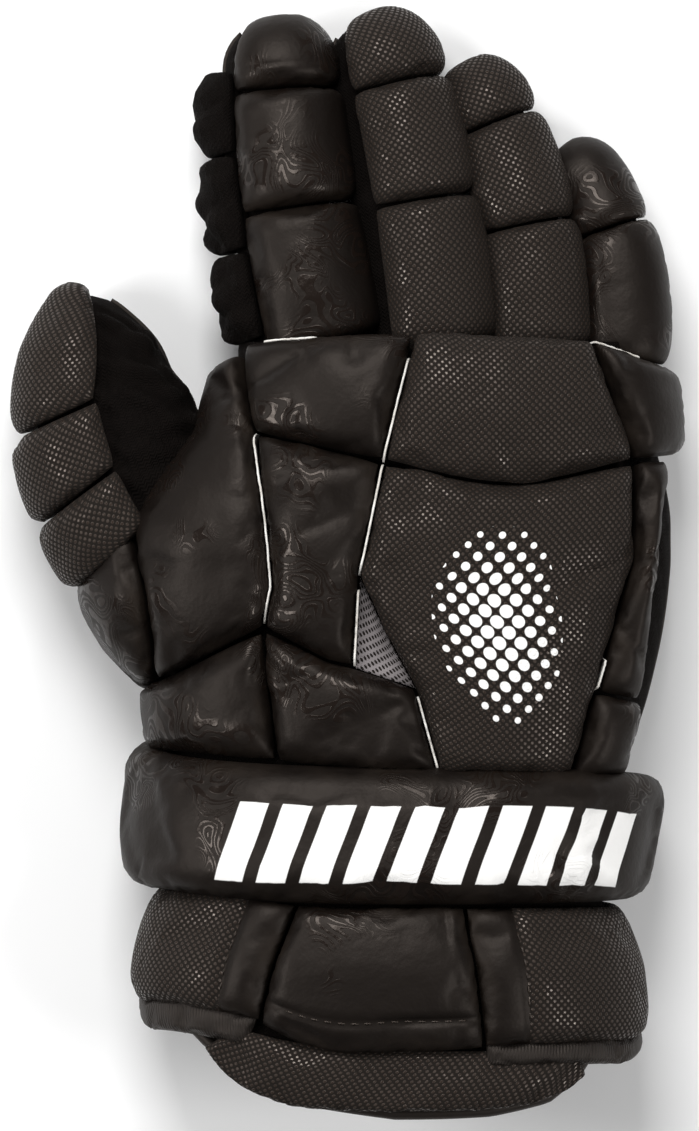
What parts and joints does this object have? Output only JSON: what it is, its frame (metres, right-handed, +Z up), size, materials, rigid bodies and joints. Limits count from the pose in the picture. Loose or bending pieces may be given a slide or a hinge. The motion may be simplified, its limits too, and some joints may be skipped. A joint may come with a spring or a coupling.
{
  "type": "lacrosse glove",
  "caption": "Right-hand padded lacrosse glove with segmented finger, thumb and back pads, a wrist roll and a flared cuff, lying palm down.",
  "frame": {"origin": "bottom centre of the bounding box, on the surface that the glove lies on", "axes": "+Y towards the fingertips, +X towards the little finger, +Z up out of the back of the hand"},
  "size_m": [0.1992, 0.3296, 0.0765],
  "materials": {
    "smooth_leather": "satin black coated leather with a faint tonal relief",
    "coated_weave": "black woven fabric with a raised diamond grid of glossy coated dots",
    "cuff_binding": "black folded edge binding",
    "black_knit": "matt black stretch knit",
    "palm_leather": "matt black suede-like palm leather",
    "grey_mesh": "grey perforated mesh"
  },
  "bodies": {
    "root": {"palm": "palm_leather", "cuff_palm": "palm_leather", "thumb_palm": "palm_leather", "index_palm": "palm_leather", "middle_palm": "palm_leather", "ring_palm": "palm_leather", "little_palm": "palm_leather", "backing": "black_knit", "cuff_backing": "black_knit", "thumb_backing": "black_knit", "index_backing": "black_knit", "middle_backing": "black_knit", "ring_backing": "black_knit", "little_backing": "black_knit", "mesh_gusset": "grey_mesh", "knuckle_index_pad": "smooth_leather", "knuckle_pad": "coated_weave", "knuckle_side_pad": "smooth_leather", "web_pad": "smooth_leather", "thumb_mound_pad": "smooth_leather", "index_back_pad": "smooth_leather", "centre_back_pad": "coated_weave", "side_back_pad": "smooth_leather", "side_wrist_pad": "smooth_leather", "thumb_root_pad": "smooth_leather", "wrist_pad": "smooth_leather", "wrist_roll": "smooth_leather", "cuff_thumb_panel": "coated_weave", "cuff_centre_panel": "smooth_leather", "cuff_little_panel": "coated_weave", "cuff_thumb_binding": "cuff_binding", "cuff_little_binding": "cuff_binding", "cuff_skirt": "coated_weave", "index_base_pad": "smooth_leather", "index_middle_pad": "smooth_leather", "index_tip_pad": "smooth_leather", "index_side_puff_base": "black_knit", "index_side_puff_middle": "black_knit", "index_side_puff_tip": "black_knit", "middle_base_pad": "coated_weave", "middle_middle_pad": "coated_weave", "middle_tip_pad": "coated_weave", "ring_base_pad": "coated_weave", "ring_middle_pad": "coated_weave", "ring_tip_pad": "coated_weave", "little_base_pad": "smooth_leather", "little_tip_pad": "smooth_leather", "thumb_base_roll": "coated_weave", "thumb_middle_roll": "coated_weave", "thumb_tip_pad": "coated_weave"}
  },
  "joints": []
}
